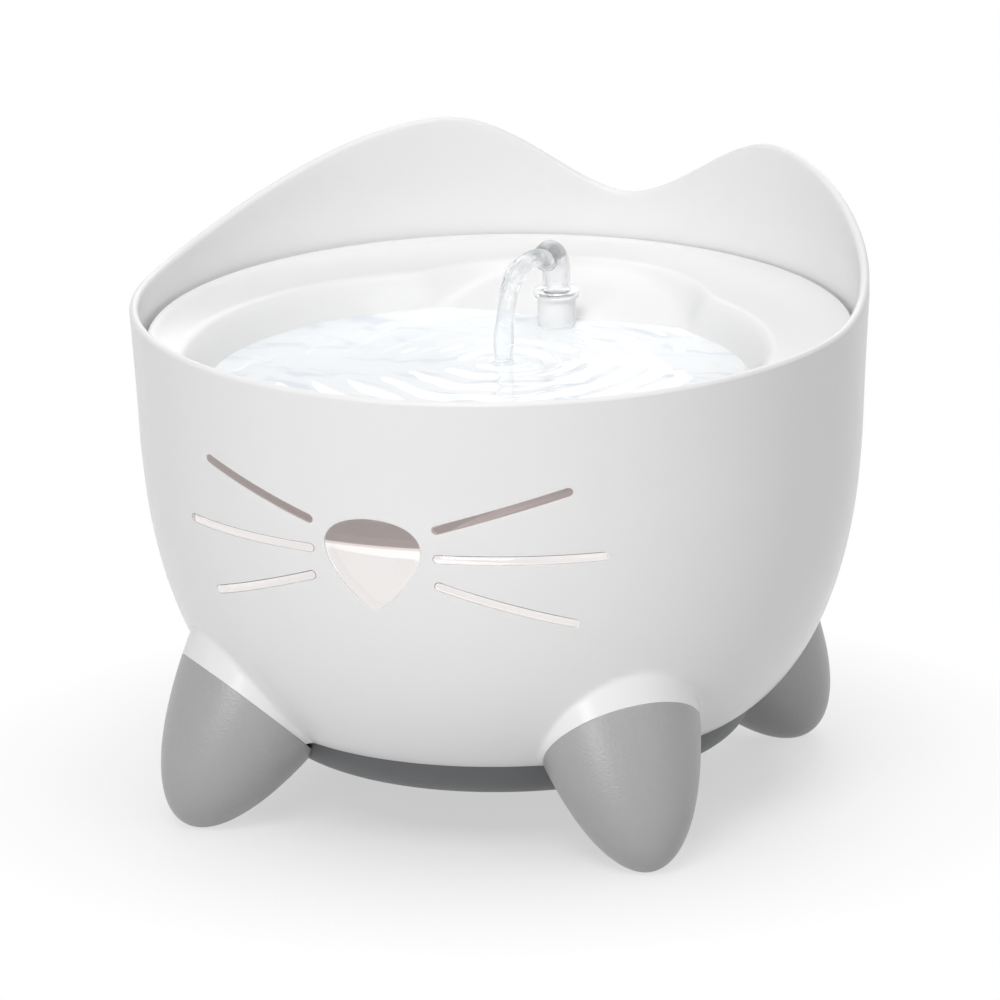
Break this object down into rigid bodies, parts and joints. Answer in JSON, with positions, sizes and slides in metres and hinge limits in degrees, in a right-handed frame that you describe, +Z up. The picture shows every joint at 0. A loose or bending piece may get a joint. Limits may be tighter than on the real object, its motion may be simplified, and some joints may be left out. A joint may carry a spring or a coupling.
{
  "type": "pet water fountain",
  "caption": "Round countertop pet water fountain with a cat-face tank on four feet, a drinking dish, a clear spout, a filter and a submersible pump.",
  "frame": {"origin": "centre of the four feet's contact plane, on the tank's vertical axis", "axes": "+Z up, the cat face looks towards -Y, the ears stand at +Y, +X is to the right of someone who looks along +Y"},
  "size_m": [0.24, 0.24, 0.1915],
  "materials": {
    "white_shell": "gloss white moulding",
    "white_dish": "gloss white moulding",
    "clear_window": "smoke-tinted clear plastic",
    "clear_spout": "clear polished plastic",
    "clear_tube": "translucent silicone",
    "grey_foot": "fine spark-eroded texture",
    "grey_base": "satin",
    "dark_plastic": "satin moulding",
    "dial_plastic": "satin moulding",
    "light_plastic": "satin moulding",
    "soft_rubber": "matte",
    "steel": "stainless",
    "laminations": "stacked sheet",
    "copper": "enamelled wire",
    "magnet": "ferrite",
    "board": "solder mask",
    "fleece": "needled fibre",
    "granules": "packed charcoal granules",
    "foam": "open-cell foam"
  },
  "bodies": {
    "tank": {"bowl_shell": "white_shell", "face_window": "clear_window", "base_cover": "grey_base", "foot_front_left": "grey_foot", "foot_front_right": "grey_foot", "foot_rear_left": "grey_foot", "foot_rear_right": "grey_foot", "base_screws": "steel", "cord_grommet": "soft_rubber", "riser_tube": "clear_tube", "pump_body": "dark_plastic", "pump_end_cap": "dark_plastic", "stator_core": "laminations", "stator_coil": "copper", "led_board": "board", "led_lens": "clear_spout", "suction_cups": "soft_rubber", "rear_shaft_bush": "soft_rubber", "impeller_shaft": "steel"},
    "dish": {"dish": "white_dish"},
    "spout_washer": {"spout_seal": "clear_tube"},
    "spout": {"spout": "clear_spout"},
    "filter": {"filter_tray": "light_plastic", "filter_granules": "granules", "filter_fleece": "fleece", "filter_frame": "light_plastic"},
    "rotor": {"rotor_magnet": "magnet", "impeller": "light_plastic"},
    "chamber_cover": {"pump_cover": "dark_plastic", "front_shaft_bush": "soft_rubber"},
    "strainer": {"strainer_cover": "dark_plastic", "intake_foam": "foam"},
    "dial": {"flow_dial": "dial_plastic"}
  },
  "joints": [
    {"name": "dish_lift", "type": "slide", "parent": "tank", "child": "dish", "axis": [0, 0, 1], "range_m": [0, 0.12]},
    {"name": "spout_pull", "type": "slide", "parent": "dish", "child": "spout_washer", "axis": [0, 0, 1], "range_m": [0, 0.02]},
    {"name": "spout_turn", "type": "hinge", "parent": "spout_washer", "child": "spout", "pos_m": [0, 0.0517, 0.15], "axis": [0, 0, 1], "continuous": true},
    {"name": "filter_drop", "type": "slide", "parent": "dish", "child": "filter", "axis": [0, 0, -1], "range_m": [0, 0.018]},
    {"name": "impeller_spin", "type": "hinge", "parent": "tank", "child": "rotor", "pos_m": [0, 0.0517, 0.061], "axis": [1, 0, 0], "continuous": true},
    {"name": "cover_pull", "type": "slide", "parent": "tank", "child": "chamber_cover", "axis": [1, 0, 0], "range_m": [0, 0.012]},
    {"name": "strainer_pull", "type": "slide", "parent": "chamber_cover", "child": "strainer", "axis": [1, 0, 0], "range_m": [0, 0.014]},
    {"name": "dial_turn", "type": "hinge", "parent": "strainer", "child": "dial", "pos_m": [0.0241, 0.0517, 0.061], "axis": [1, 0, 0], "range_deg": [0, 60]}
  ]
}
